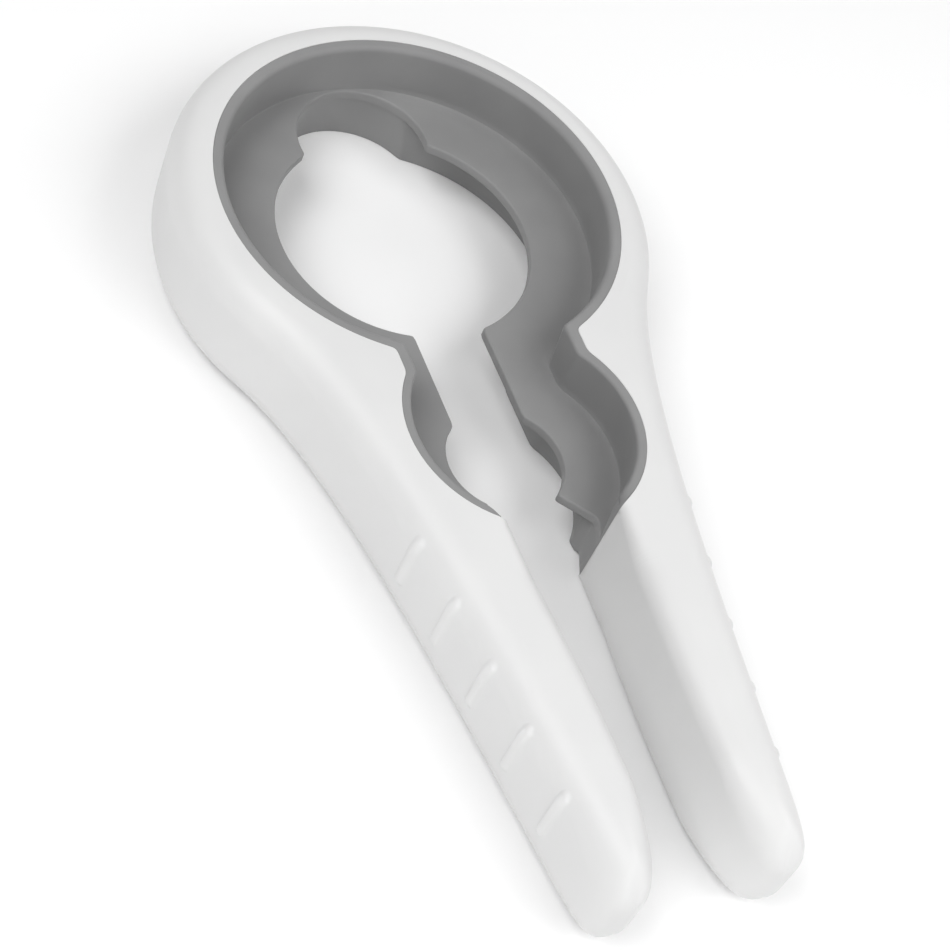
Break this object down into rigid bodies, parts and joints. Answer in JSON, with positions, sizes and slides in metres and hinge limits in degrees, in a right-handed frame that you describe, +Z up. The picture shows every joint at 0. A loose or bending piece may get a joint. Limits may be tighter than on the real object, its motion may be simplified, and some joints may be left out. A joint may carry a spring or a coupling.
{
  "type": "jar opener",
  "caption": "Squeeze jar opener: a stiff forked ring with two handles that flexes at its crown, and a soft lining with stepped lid seats on both faces.",
  "frame": {"origin": "under the middle of the whole opener, on the surface that it lies on", "axes": "+Z up through the lid seats, +Y from the handles' tips towards the crown of the ring, +X to the right arm"},
  "size_m": [0.1074, 0.216, 0.028],
  "materials": {
    "body_plastic": "smooth satin white polypropylene",
    "lining_rubber": "nearly matte mid-grey thermoplastic rubber"
  },
  "bodies": {
    "left_half": {"left_arm": "body_plastic", "left_lining": "lining_rubber", "crown_bow": "body_plastic", "crown_lining": "lining_rubber"},
    "right_half": {"right_arm": "body_plastic", "right_lining": "lining_rubber"}
  },
  "joints": [
    {"name": "squeeze", "type": "hinge", "parent": "left_half", "child": "right_half", "pos_m": [0, 0.10365, 0.014], "axis": [0, 0, -1], "range_deg": [-2, 5.4], "stiffness_Nm_per_rad": 25, "deforming": ["crown_bow", "crown_lining"]}
  ]
}
